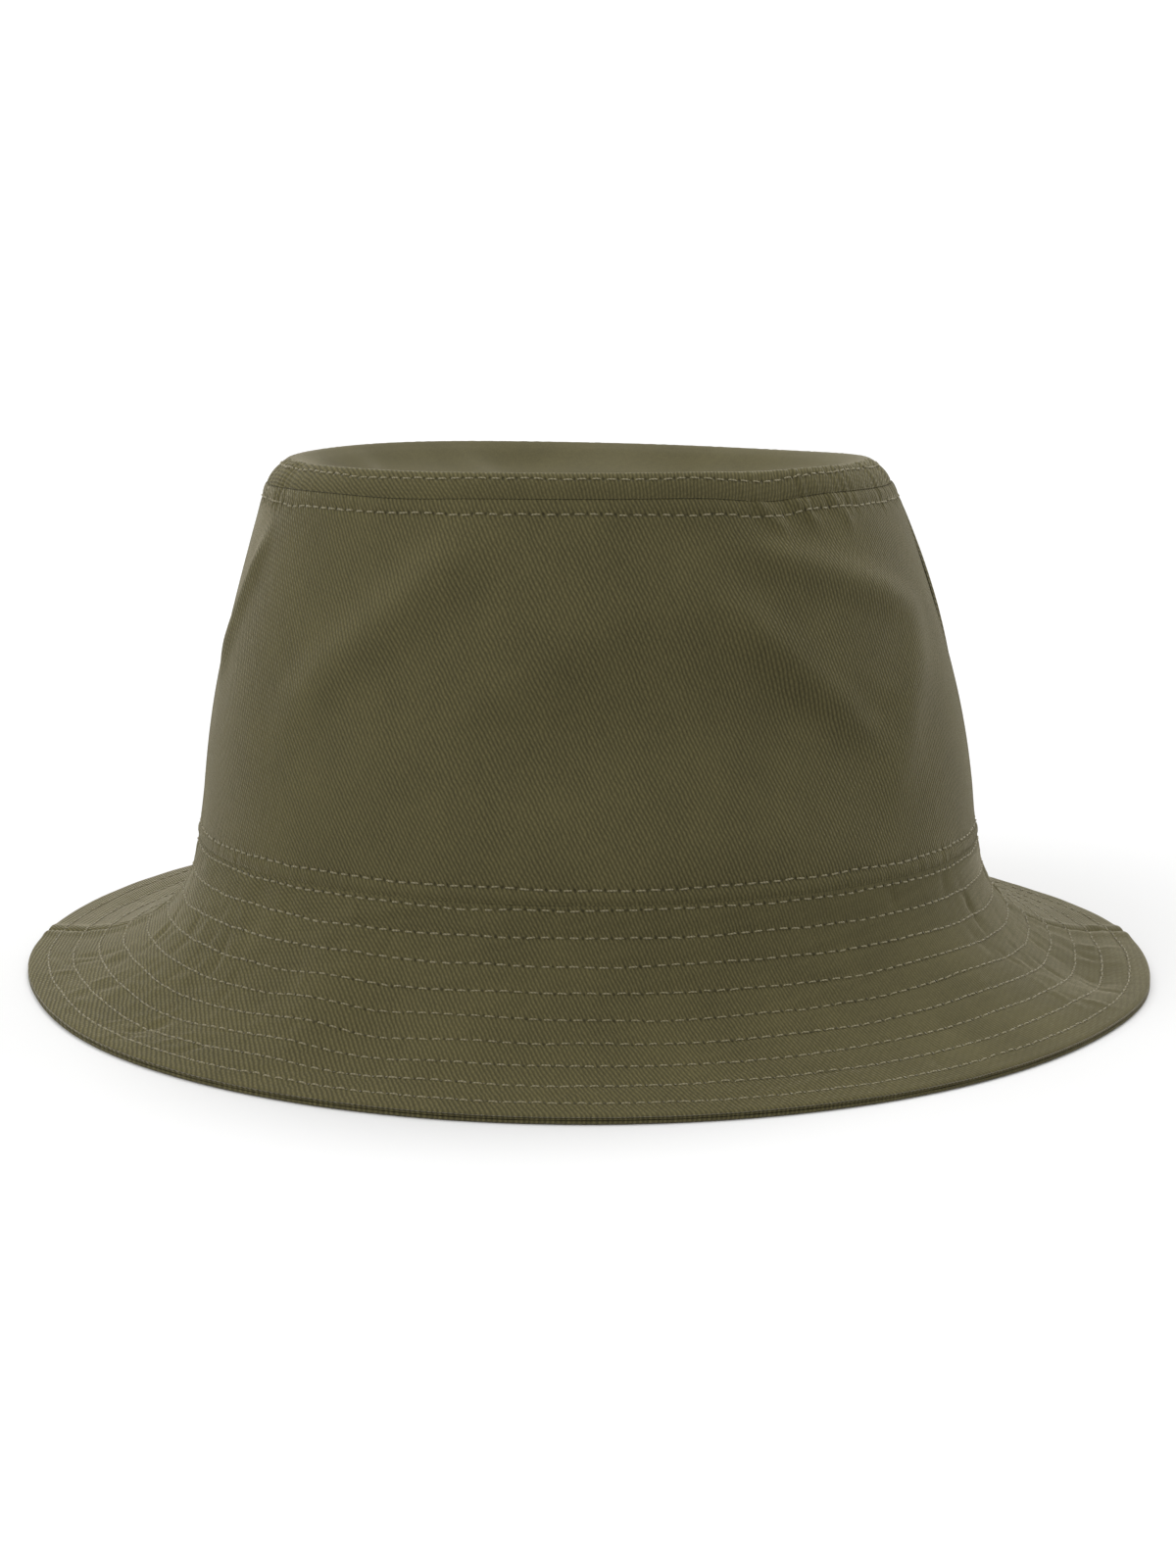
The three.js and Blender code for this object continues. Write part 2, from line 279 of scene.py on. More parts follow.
def puckers(seed, count, middle, spread, size):
    """Short creases across the brim, scattered round one direction: degrees round, share of the
    width, length, width, slant and height."""
    random = np.random.default_rng(seed)
    return [(random.normal(middle, spread), random.uniform(0.06, 0.95), random.uniform(3, 7) * MM,
             random.uniform(1.2, 2.4) * MM, random.uniform(-0.7, 0.7), random.uniform(-0.3, 0.22) * size * MM)
            for _ in range(count)]


BRIM_PUCKERS = [
    *puckers(61, 110, 212, 19, 1.5),
    *puckers(62, 60, 350, 13, 1.5),
    *puckers(63, 45, 280, 28, 1.0),
    *puckers(64, 90, 90, 50, 1.0),
]


def puckered(angle, share):
    """The height of all the short creases together."""
    total = np.zeros(np.shape(share))
    for degrees, place, length, width, slant, height in BRIM_PUCKERS:
        turn = turn_from(angle, degrees)
        near = np.abs(turn) < 8
        x = np.radians(turn[near]) * (BRIM_RADIUS + place * BRIM_LENGTH)
        y = (share[near] - place) * BRIM_LENGTH
        across = x * math.cos(slant) + y * math.sin(slant)
        along = y * math.cos(slant) - x * math.sin(slant)
        total[near] += height * bell(across, width) * bell(along, length)
    return total


def rim_shift(angle):
    """How far the rim stands off its oval: outwards, and to the back."""
    out = -6 * MM * bell(turn_from(angle, 38), 20) + 1.5 * MM * bell(turn_from(angle, 120), 25)
    back = 3.5 * MM * bell(turn_from(angle, 190), 13) - 4.5 * MM * bell(turn_from(angle, 352), 14)
    return out, back


def quadratic(start, bend, end, t):
    """Point on the curve from start to end that is drawn towards bend."""
    return (1 - t) ** 2 * start + 2 * t * (1 - t) * bend + t * t * end


def brim_base(angle, share):
    """Point on the brim's top face: share 0 at the seam, 1 at the rim, measured along the cloth."""
    start, end = oval(BASE, angle), oval(RIM, angle)
    hang = BRIM_HANG + BRIM_HANG_BACK_EXTRA * np.sin(angle)
    flare = BRIM_FLARE * (1 - np.sin(angle))
    out, back = rim_shift(angle)
    bend = start + outward(angle) * flare[..., None]
    bend[..., 2] -= hang * (start[..., 2] - end[..., 2])
    end = end + outward(angle) * out[..., None]
    end[..., 1] += back
    steps = np.linspace(0, 1, BRIM_SECTION_STEPS + 1)
    t = steps.reshape((1,) * angle.ndim + (-1, 1))
    curve = quadratic(start[..., None, :], bend[..., None, :], end[..., None, :], t)
    lengths = np.linalg.norm(np.diff(curve, axis=-2), axis=-1)
    gone = np.concatenate([np.zeros(angle.shape + (1,)), np.cumsum(lengths, -1)], -1)
    goal = share * gone[..., -1]
    index = np.clip((gone <= goal[..., None]).sum(-1) - 1, 0, len(steps) - 2)
    before = np.take_along_axis(gone, index[..., None], -1)[..., 0]
    after = np.take_along_axis(gone, index[..., None] + 1, -1)[..., 0]
    local = (steps[index] + (goal - before) / (after - before) * (steps[1] - steps[0]))[..., None]
    return quadratic(start, bend, end, local)


def brim_waves(angle, share):
    """The waves that all the brim's layers share."""
    total = np.zeros(np.shape(share))
    for degrees, turn, place, spread, height in BRIM_WAVES:
        total = total + height * bell(turn_from(angle, degrees), turn) * bell(share - place, spread)
    return total * smoothstep(1, 0.8, share) * smoothstep(0, 0.15, share)


def stitched_channels(length):
    """0 in the valleys where the rows run, 1 between them."""
    rows = (length - FIRST_ROW) / ROW_SPACING
    inside = smoothstep(-0.4, 0, rows) * smoothstep(ROW_COUNT - 0.6, ROW_COUNT - 1, rows)
    return (1 - np.abs(np.cos(math.pi * rows)) ** 8) * inside


def brim_texture(angle, share):
    """What both faces of the brim do between the stitched rows, taken outwards."""
    length = share * BRIM_LENGTH
    around = angle * (BRIM_RADIUS + length)
    puff = stitched_channels(length) * 0.2 * MM
    creases = ripple(21, 12, around, length, 40, 110) * 0.05 * MM + puckered(angle, share)
    return puff + creases * (0.4 + 0.6 * stitched_channels(length)) * smoothstep(0, 0.06, share)


def brim_seam(angle, share):
    """The ridges and the groove along the brim's two side seams."""
    side = side_seam_distance(unswept(angle, share), BRIM_RADIUS + share * BRIM_LENGTH)
    return 0.4 * MM * bell(side - 3.2 * MM, 2.6 * MM) - 0.3 * MM * bell(side, 0.7 * MM)


def rolled_edge(length, reach, height):
    """How far the cloth has turned round the rim, over the last reach of its length."""
    edge = np.clip((length - BRIM_LENGTH + reach) / reach, 0, 1)
    return (1 - np.sqrt(1 - 0.98 * edge * edge)) * height


def brim_relief(angle, share):
    """How far the brim's top face is moved out. It turns under at the rim and tucks under the crown."""
    length = share * BRIM_LENGTH
    rolled = rolled_edge(length, 1.1 * MM, 0.5 * MM)
    tucked = CLOTH * smoothstep(0.6 * MM, -0.1 * MM, length)
    outer = brim_texture(angle, share) + brim_seam(angle, share)
    return brim_waves(angle, share) + outer - rolled - tucked


# The under brim's creases: how far round they are from the upper ones, and their size beside them.
UNDER_TURN = 0.6
UNDER_RELIEF = 0.7


def under_relief(angle, share):
    """The under brim's own creases: the same kind as above, but at other places."""
    rolled = rolled_edge(share * BRIM_LENGTH, 1.6 * MM, 0.6 * MM)
    under = brim_texture(angle + UNDER_TURN, share) + brim_seam(angle, share)
    return brim_waves(angle, share) - under * UNDER_RELIEF + rolled


# ------------------------------------------------------------------ tip
def tip_section(share):
    """A smooth curve through the section's points, evenly spaced in share."""
    last = len(TIP_SECTION) - 1
    points = np.concatenate([2 * TIP_SECTION[:1] - TIP_SECTION[1:2], TIP_SECTION, TIP_SECTION[-1:]])
    place = np.clip(share, 0, 1) * last
    index = np.clip(np.floor(place).astype(int), 0, last - 1)
    t = (place - index)[..., None]
    a, b, c, d = (points[index + i] for i in range(4))
    curve = 2 * b + (c - a) * t + (2 * a - 5 * b + 4 * c - d) * t ** 2 + (3 * b - a - 3 * c + d) * t ** 3
    return curve[..., 0] / 2, curve[..., 1] / 2


def tip_shoulder(angle, share):
    """At its left and right ends the top panel rolls over more softly, so the ridge stands further in."""
    return 2.0 * MM * np.cos(angle) ** 4 * smoothstep(0, 0.4, share) * smoothstep(0.85, 0.5, share)


def ridge_lift(angle):
    """The ridge stands higher at the back left and lower at the back right."""
    return (1.0 * bell(turn_from(angle, 128), 35) - 0.6 * bell(turn_from(angle, 45), 28)) * MM


def tip_base(angle, share):
    """Point on the top panel without its relief: share 0 at its sewn edge, 1 in the middle."""
    inset, rise = tip_section(share)
    inset = inset + tip_shoulder(angle, share)
    rise = rise + ridge_lift(angle) * bell(share - 0.45, 0.25)
    scale = 1 - inset / TOP["half_width"]
    point = np.stack([
        TOP["x"] + scale * TOP["half_width"] * np.cos(angle),
        TOP["y"] + scale * TOP["half_depth"] * np.sin(angle),
        TOP["height"] - scale * TOP["lean"] * np.sin(angle) + rise,
    ], -1)
    point[..., 2] -= seam_sag(angle) * smoothstep(0.6, 0.1, share)
    return point


# Streaks pulled into the top panel from its edge: both ends in plan, width and height, in mm.
TIP_STREAKS = [
    ((-58, 52), (-46, 18), 4.5, 0.9),
    ((-30, 62), (-14, 24), 5.5, 0.9),
    ((34, 60), (22, 12), 6.0, 0.8),
    ((52, -30), (30, -8), 5.0, 0.7),
    ((-40, -46), (-20, -18), 5.5, 0.7),
]


def tip_relief(angle, share):
    """How far streaks, gathers and the sewn row move the top panel's cloth out."""
    inset, _ = tip_section(share)
    point = tip_base(angle, share)
    x, y = point[..., 0] / MM, point[..., 1] / MM
    inside = smoothstep(4 * MM, 16 * MM, inset)
    total = ripple(31, 8, point[..., 0], point[..., 1], 12, 30) * 0.35 * MM * inside
    for (x0, y0), (x1, y1), width, tall in TIP_STREAKS:
        dx, dy = x1 - x0, y1 - y0
        length = math.hypot(dx, dy)
        along = ((x - x0) * dx + (y - y0) * dy) / length ** 2
        off = ((x - x0) * dy - (y - y0) * dx) / length
        streak = bell(off, width) * smoothstep(-0.3, 0.15, along) * smoothstep(1.3, 0.6, along)
        total = total + streak * tall * MM * inside
    edge = smoothstep(0.5, 0.35, share)
    total = total + gathers(12, angle * CROWN_RADIUS) * gather_size(angle) * edge
    row = (share - TIP_TOPSTITCH_SHARE) * TIP_RIDGE_LENGTH
    return total - 0.12 * MM * bell(row, 0.7 * MM) - 0.1 * MM * bell(share * TIP_RIDGE_LENGTH, 0.3 * MM)


# ------------------------------------------------------------------ layers
def normals(surface, angle, share):
    """The direction out of a surface at each point, from its neighbours."""
    step = 0.002
    low, high = np.maximum(share - step, 0), np.minimum(share + step, 1)
    across = surface(angle + step, share) - surface(angle - step, share)
    along = surface(angle, high) - surface(angle, low)
    normal = np.cross(across, along)
    size = np.linalg.norm(normal, axis=-1, keepdims=True)
    normal = np.where(size > 1e-12, normal / np.maximum(size, 1e-12), [0.0, 0.0, 1.0])
    facing = (normal * (outward(angle) + [0, 0, 1])).sum(-1, keepdims=True)
    return np.where(facing < 0, -normal, normal)


def layered(base, relief, upright):
    """A layer function: the point at a depth below the outer face, relief included. Upright says how
    far the depth is taken straight down instead of along the normal."""
    def layer(angle, share, depth):
        angle, share, depth = np.broadcast_arrays(angle, share, depth)
        direction = normals(base, angle, share)
        lift = upright(share)[..., None]
        direction = direction * (1 - lift) + np.array([0, 0, 1.0]) * lift
        direction /= np.linalg.norm(direction, axis=-1, keepdims=True)
        return base(angle, share) + direction * (relief(angle, share) - depth)[..., None]
    return layer


def rim_lift(share):
    """The brim's layers are stacked along its normal at the seam, turning upright at the rim."""
    return np.clip(share, 0, 1) ** 2


crown_layer = layered(crown_base, crown_relief, lambda share: 0 * share)
brim_layer = layered(brim_base, brim_relief, rim_lift)
lining_layer = layered(brim_base, brim_waves, rim_lift)
under_layer = layered(brim_base, under_relief, rim_lift)
tip_layer = layered(tip_base, tip_relief, lambda share: 1.0 * (share >= 1))
band_layer = layered(crown_base, front_dent, lambda share: 0 * share)


# ------------------------------------------------------------------ meshes
def build_mesh(name, points, quads, weave, sewing, triangles=None):
    """A smooth mesh with the weave's place in the cloth and its place among the stitches, in mm."""
    mesh = bpy.data.meshes.new(name)
    quads = np.asarray(quads, np.int32)
    corners, starts = quads.ravel(), np.arange(len(quads), dtype=np.int32) * 4
    if triangles is not None:
        starts = np.concatenate([starts, len(corners) + np.arange(len(triangles), dtype=np.int32) * 3])
        corners = np.concatenate([corners, np.asarray(triangles, np.int32).ravel()])
    mesh.vertices.add(len(points))
    mesh.vertices.foreach_set("co", np.asarray(points, np.float32).ravel())
    mesh.loops.add(len(corners))
    mesh.loops.foreach_set("vertex_index", corners)
    mesh.polygons.add(len(starts))
    mesh.polygons.foreach_set("loop_start", starts)
    mesh.polygons.foreach_set("use_smooth", np.ones(len(starts), bool))
    mesh.update(calc_edges=True)
    mesh.validate()
    for label, values in (("weave", weave), ("sewing", sewing)):
        layer = mesh.attributes.new(label, "FLOAT_VECTOR", "POINT")
        layer.data.foreach_set("vector", np.asarray(values, np.float32).ravel())
    piece = bpy.data.objects.new(name, mesh)
    bpy.context.scene.collection.objects.link(piece)
    return piece


def looks_out(points, quads):
    """Whether a closed body's faces look out, from the sign of its volume."""
    a, b, c, d = (points[quads[:, i]] for i in range(4))
    volume = (a * np.cross(b, c)).sum() + (a * np.cross(c, d)).sum()
    return volume > 0


def grid_quads(rows, columns, start, wrap):
    """The faces between a grid of points numbered from start. Wrap joins the last row to the first."""
    row, column = np.meshgrid(np.arange(rows if wrap else rows - 1), np.arange(columns - 1), indexing="ij")
    a = row * columns + column
    b = (row + 1) % rows * columns + column
    return start + np.stack([a, b, b + 1, a + 1], -1).reshape(-1, 4)


def shell(name, outer, inner, weave, sewing=None, wrap=False, crown_point=False):
    """A closed sheet between two grids of points (angle, share). Open borders are closed by walls, or
    by a fan round one middle point on each face."""
    rows, columns = outer.shape[:2]
    count = rows * columns
    quads = [grid_quads(rows, columns, 0, wrap), grid_quads(rows, columns, count, wrap)[:, ::-1]]
    index = np.arange(count).reshape(rows, columns)
    borders = [index[:, 0][::-1]]
    if not crown_point:
        borders.append(index[:, -1])
    if wrap:
        borders = [np.append(border, border[0]) for border in borders]
    else:
        borders += [index[0], index[-1][::-1]]
    for border in borders:
        a, b = border[:-1], border[1:]
        quads.append(np.stack([b, a, a + count, b + count], -1))
    points = [outer.reshape(-1, 3), inner.reshape(-1, 3)]
    weave = [weave.reshape(-1, 3)] * 2
    if sewing is None:
        sewing = np.broadcast_to(UNSEWN, outer.shape)
    sewing = [sewing.reshape(-1, 3)] * 2
    triangles = None
    if crown_point:
        last = index[:, -1]
        after = np.roll(last, -1)
        points += [outer[:, -1].mean(0)[None], inner[:, -1].mean(0)[None]]
        weave += [weave[0][last].mean(0)[None]] * 2
        sewing += [sewing[0][:1]] * 2
        fan = np.stack([last, after, np.full(rows, 2 * count)], -1)
        triangles = np.concatenate([fan, (fan + [count, count, 1])[:, ::-1]])
    points = np.concatenate(points)
    faces = np.concatenate(quads)
    if not looks_out(points, faces):
        faces = faces[:, ::-1]
        triangles = None if triangles is None else triangles[:, ::-1]
    return build_mesh(name, points, faces, np.concatenate(weave), np.concatenate(sewing), triangles)


def finish_piece(piece, nodes, material, body="hat"):
    """Gives a piece its material, hides the CAD nodes it stands for and hangs it from the body that carries
    it.
    """
    piece.data.materials.append(material)
    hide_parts(*nodes)
    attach(piece, body)
    return piece


# ------------------------------------------------------------------ materials
def maths_node(tree, operation, *values):
    """Adds one Math node. A value is a number or another node's output."""
    node = tree.nodes.new("ShaderNodeMath")
    node.operation = operation
    for place, value in enumerate(values):
        if isinstance(value, (int, float)):
            node.inputs[place].default_value = value
        else:
            tree.links.new(value, node.inputs[place])
    return node.outputs[0]


class Shader:
    """A material's node tree, with short ways to add nodes to it."""

    def __init__(self, name, roughness, specular):
        self.material = bpy.data.materials.new(name)
        self.material.use_nodes = True
        self.nodes = self.material.node_tree.nodes
        self.links = self.material.node_tree.links
        self.surface = self.nodes["Principled BSDF"]
        self.surface.inputs["Roughness"].default_value = roughness
        self.surface.inputs["Specular IOR Level"].default_value = specular

    def maths(self, operation, *values):
        return maths_node(self.material.node_tree, operation, *values)

    def weighted_sum(self, total, *parts):
        """The first value with each (value, weight) added to it."""
        for value, weight in parts:
            total = self.maths("MULTIPLY_ADD", value, weight, total)
        return total

    def wave(self, value, length):
        """A sine of the given wavelength, from 0 to 1."""
        sine = self.maths("SINE", self.maths("MULTIPLY", value, TAU / length))
        return self.maths("MULTIPLY_ADD", sine, 0.5, 0.5)

    def coordinates(self, attribute):
        """A mesh attribute as a vector and as its three parts."""
        source = self.nodes.new("ShaderNodeAttribute")
        source.attribute_name = attribute
        split = self.nodes.new("ShaderNodeSeparateXYZ")
        self.links.new(source.outputs["Vector"], split.inputs[0])
        return source.outputs["Vector"], *(split.outputs[axis] for axis in "XYZ")

    def noise(self, vector, scale, detail):
        node = self.nodes.new("ShaderNodeTexNoise")
        node.inputs["Scale"].default_value = scale
        node.inputs["Detail"].default_value = detail
        self.links.new(vector, node.inputs["Vector"])
        return node.outputs["Fac"]

    def ramp(self, value, low, dark, high, light):
        """Colours the surface from dark at low to light at high."""
        node = self.nodes.new("ShaderNodeValToRGB")
        for element, place, color in zip(node.color_ramp.elements, (low, high), (dark, light)):
            element.position = place
            element.color = (*color, 1)
        self.links.new(value, node.inputs[0])
        self.links.new(node.outputs[0], self.surface.inputs["Base Color"])

    def bump(self, height, strength, distance):
        node = self.nodes.new("ShaderNodeBump")
        node.inputs["Strength"].default_value = strength
        node.inputs["Distance"].default_value = distance
        self.links.new(height, node.inputs["Height"])
        self.links.new(node.outputs[0], self.surface.inputs["Normal"])

    def fuzz(self, weight, roughness, tint):
        self.surface.inputs["Sheen Weight"].default_value = weight
        self.surface.inputs["Sheen Roughness"].default_value = roughness
        self.surface.inputs["Sheen Tint"].default_value = (*tint, 1)


def twill(name, color, contrast=0.55, wale=0.86, yarn=1.5, sheen=0.62, relief=0.22 * MM):
    """Cotton twill: ribs along the weave's first coordinate, broken into single yarn floats, with
    mottling, slubs, and needle holes along the sewn rows. Wale and yarn are lengths in mm."""
    shader = Shader(name, roughness=0.85, specular=0.25)
    shader.fuzz(sheen, roughness=0.21, tint=(0.96, 0.88, 0.70))
    vector, along, across, _ = shader.coordinates("weave")
    _, from_row, travel, pressed_and_shaded = shader.coordinates("sewing")
    wander = shader.noise(vector, scale=0.35, detail=2)
    ribs = shader.weighted_sum(across, (wander, 0.7))
    rib = shader.wave(ribs, wale)
    number = shader.maths("FLOOR", shader.maths("DIVIDE", ribs, wale))
    float_place = shader.weighted_sum(along, (number, 0.37 * yarn))
    yarns = shader.wave(float_place, yarn)
    weave = shader.maths("MULTIPLY", rib, shader.maths("MULTIPLY_ADD", yarns, 0.4, 0.6))
    # pressed cloth goes towards an even height and tone; even lies below the ribs' mean, so the tone also
    # darkens, and that darkening is painted shade on the top panel's bowl and the brim's right front
    even = 0.28
    pressed = shader.maths("MULTIPLY", pressed_and_shaded, shader.maths("SUBTRACT", weave, even))
    weave = shader.maths("SUBTRACT", weave, pressed)
    fluff = shader.noise(vector, scale=2.6, detail=3)
    cloud = shader.noise(vector, scale=0.07, detail=3)
    slub = shader.noise(vector, scale=0.6, detail=2)
    # the needle's holes: dimples a pitch apart on each row, also darkened in the tone as painted shade
    pitch = STITCH_PITCH / MM
    phase = shader.maths("FRACT", shader.maths("ADD", shader.maths("DIVIDE", travel, pitch), 0.5))
    from_hole = shader.maths("MULTIPLY", shader.maths("SUBTRACT", phase, 0.5), pitch)
    squared = shader.maths("ADD", shader.maths("POWER", from_hole, 2), shader.maths("POWER", from_row, 2))
    hole = shader.maths("EXPONENT", shader.maths("MULTIPLY", squared, -9.0))
    # the tone rises with the ribs' and yarn floats' height, which is painted shade in the valleys between
    # them; fluff, cloud and slub are the cloth's own mottling
    tone = shader.weighted_sum(-0.05, (weave, 0.5), (fluff, 0.4), (cloud, 0.22), (slub, 0.16), (hole, -0.42))
    dark, light = (tuple(part * share for part in color) for share in (1 - contrast, 1 + contrast))
    shader.ramp(tone, 0.2, dark, 0.9, light)
    shader.bump(shader.weighted_sum(weave, (fluff, 0.35), (hole, -2.0)), strength=0.7, distance=relief)
    return shader.material


def thread(name, dark, light):
    """Sewing thread: plies that wind round it, with painted shade darkening the grooves between them."""
    shader = Shader(name, roughness=0.55, specular=0.3)
    shader.fuzz(0.6, roughness=0.3, tint=(0.98, 0.92, 0.78))
    _, along, round_place, _ = shader.coordinates("weave")
    ply = shader.weighted_sum(round_place, (along, 9.0))
    twist = shader.maths("MULTIPLY_ADD", shader.maths("SINE", ply), 0.5, 0.5)
    shader.ramp(twist, 0, dark, 1, light)
    shader.bump(twist, strength=0.5, distance=0.05 * MM)
    return shader.material


OLIVE = (0.107, 0.093, 0.0385)
OUTER = twill("olive_twill", OLIVE)
TOP_CLOTH = twill("olive_twill_top", OLIVE, contrast=0.5, sheen=0.35)
# the under brim's cloth is the upper cloth made darker: painted shade on the underside
SHADED_UNDER = twill("olive_twill_under_shaded", tuple(0.9 * part for part in OLIVE))
LINING = twill("interlining_felt", (0.58, 0.55, 0.45), contrast=0.15, wale=1.2)
BAND = twill("band_cotton", (0.043, 0.04, 0.02), wale=0.5, contrast=0.25)
TAPE_CLOTH = twill("tape_cotton", (0.09, 0.08, 0.036), wale=0.5, contrast=0.25)
SATIN = twill("label_satin", (0.68, 0.66, 0.58), contrast=0.08, wale=0.3, relief=0.05 * MM)
THREAD = thread("sewing_thread", (0.18, 0.158, 0.086), (0.315, 0.28, 0.166))


# ------------------------------------------------------------------ weave and sewing coordinates, in mm
def turned(x, y, degrees):
    """Flat coordinates in mm, turned so that the first runs along the ribs."""
    c, s = math.cos(math.radians(degrees)), math.sin(math.radians(degrees))
    return np.stack([x * c + y * s, -x * s + y * c, 0 * x], -1) / MM


# Directions of the ribs in degrees, and the sewing coordinates of cloth with no stitches near it.
WALE_TILT = 115.5
TIP_WALE_TILT = 104
BAND_WALE_TILT = 60
UNSEWN = (9.0, 9.0, 0.0)


def crown_weave(angle, rise, centre):
    """The crown half laid flat: a wide arc that takes up so much of a full turn."""
    spread = 0.21
    base_radius = BASE["half_width"] / spread
    radius = base_radius - rise * CROWN_HEIGHT
    turn = (angle - centre) * spread
    return turned(radius * np.sin(turn), base_radius - radius * np.cos(turn), WALE_TILT)


def brim_weave(angle, share, centre):
    """The brim half laid flat: a ring's sector that takes up so much of a full turn."""
    spread = 0.75
    radius = 92 * MM / spread + share * BRIM_LENGTH
    turn = (angle - centre) * spread
    return turned(radius * np.sin(turn), -radius * np.cos(turn), WALE_TILT)


def tip_weave(angle, share):
    """Measured along the cloth from the middle of the panel."""
    fine = np.linspace(0, 1, 400)
    inset, rise = tip_section(fine)
    gone = np.concatenate([[0], np.cumsum(np.hypot(np.diff(inset), np.diff(rise)))])
    radius = gone[-1] - np.interp(share, fine, gone)
    deeper = 1.08
    return turned(radius * np.cos(angle), radius * np.sin(angle) * deeper, TIP_WALE_TILT)


def travelled(layer, share):
    """How far a sewn row has run at every angle round the hat."""
    fine = np.linspace(0, TAU, 1441)
    line = layer(fine, np.full(fine.shape, share), 0.0)
    gone = np.concatenate([[0], np.cumsum(np.linalg.norm(np.diff(line, axis=0), axis=1))])
    return fine, gone


def row_wander(seed, travel, whole):
    """How far a hand-guided row strays from its line, closing up after one round."""
    random = np.random.default_rng(seed)
    total = np.zeros(np.shape(travel))
    for turns in (5, 9, 14, 19, 27, 36):
        total += np.sin(TAU * turns * travel / whole + random.uniform(0, TAU)) / turns ** 0.5
    return 0.28 * MM * total


def sewing_coordinates(layer, angle, share, length, rows, pressed_and_shaded=0.0):
    """Distance from the nearest sewn row, how far that row has run there, and how far the cloth's ribs are
    pressed flat and their tone darkened, the darkening being painted shade."""
    places = np.array([place for place, _ in rows])
    nearest = np.abs(share[..., None] * length - places * length).argmin(-1)
    travel, astray = np.zeros(angle.shape), np.zeros(angle.shape)
    for number, (place, seed) in enumerate(rows):
        fine, gone = travelled(layer, place)
        chosen = nearest == number
        travel[chosen] = np.interp(angle[chosen] % TAU, fine, gone)
        astray[chosen] = row_wander(seed, travel[chosen], gone[-1])
    distance = np.abs((share - places[nearest]) * length - astray)
    return np.stack([distance / MM, travel / MM, pressed_and_shaded + 0 * travel], -1)


BRIM_ROWS = [((FIRST_ROW + row * ROW_SPACING) / BRIM_LENGTH, 50 + row) for row in range(ROW_COUNT)]
CROWN_ROWS = [(BASE_TOPSTITCH / CROWN_HEIGHT, 41), (1 - CROWN_TOPSTITCH / CROWN_HEIGHT, 42)]
TIP_ROW = (TIP_TOPSTITCH_SHARE, 43)


# ------------------------------------------------------------------ panels
HALVES = {"back": 0.0, "front": math.pi}
PANEL_GAP = 0.05 * MM
# The interlining's joins are stepped round from the cloth's side seams, so no light comes through.
LINING_STEP = math.radians(1.5)


def half_round(start, count):
    """Angles across one panel, packed close beside its two side seams."""
    near = np.linspace(PANEL_GAP / CROWN_RADIUS, math.radians(4.5), 26)
    middle = np.linspace(near[-1], math.pi - near[-1], count)[1:-1]
    return start + np.concatenate([near, middle, math.pi - near[::-1]])


def packed(low, high, count, edge, edge_count):
    """Places from low to high, packed close within edge of both ends."""
    first = np.linspace(low, low + edge, edge_count)
    last = np.linspace(high - edge, high, edge_count)
    return np.concatenate([first, np.linspace(first[-1], last[0], count)[1:-1], last])


def crown_panel(side, start):
    """Half of the crown wall."""
    rises = packed(0.0, 1.0, 74, 6.5 * MM / CROWN_HEIGHT, 20)
    angle, rise = np.meshgrid(half_round(start, 292), rises, indexing="ij")
    weave = crown_weave(angle, rise, start + math.pi / 2)
    sewing = sewing_coordinates(crown_layer, angle, rise, CROWN_HEIGHT, CROWN_ROWS)
    outer, inner = crown_layer(angle, rise, 0.0), crown_layer(angle, rise, CLOTH)
    piece = shell(f"crown_{side}", outer, inner, weave, sewing)
    return finish_piece(piece, [f"crown_panel_{side}"], OUTER)


def brim_shares(low, high, per_row):
    """Places across the brim that fall on every stitched row."""
    step = ROW_SPACING / per_row
    on_rows = FIRST_ROW + np.arange(-4, per_row * ROW_COUNT) * step
    keep = on_rows[(on_rows > low * BRIM_LENGTH + 0.3 * step) & (on_rows < high * BRIM_LENGTH - 0.3 * step)]
    roll = BRIM_LENGTH - np.array([1.0, 0.6, 0.35, 0.18, 0.07]) * MM
    keep = keep[keep < roll[0] - 0.2 * MM] if high == 1 else keep
    ends = roll if high == 1 else np.array([])
    return np.concatenate([[low], keep / BRIM_LENGTH, ends / BRIM_LENGTH, [high]])


def brim_pressing_and_shade(angle):
    """How far the ribs are pressed flat and their tone darkened, the darkening being painted shade: most on
    the right front of the brim.
    """
    degrees = np.degrees(angle)
    return 0.65 * (smoothstep(285, 318, degrees) + smoothstep(30, 0, degrees))


def brim_panel(name, node, start, layer, depths, material, shares, columns):
    """Half of one brim layer, kept off the floor."""
    cut_angle, share = np.meshgrid(half_round(start, columns), shares, indexing="ij")
    angle = swept(cut_angle, share)
    weave = brim_weave(cut_angle, share, start + math.pi / 2)
    sewing = sewing_coordinates(brim_layer, angle, share, BRIM_LENGTH, BRIM_ROWS, brim_pressing_and_shade(angle))
    outer, inner = layer(angle, share, depths[0]), layer(angle, share, depths[1])
    inner[..., 2] = np.maximum(inner[..., 2], 0)
    outer[..., 2] = np.maximum(outer[..., 2], inner[..., 2] + 0.3 * MM)
    piece = shell(name, outer, inner, weave, sewing)
    return finish_piece(piece, [node], material)


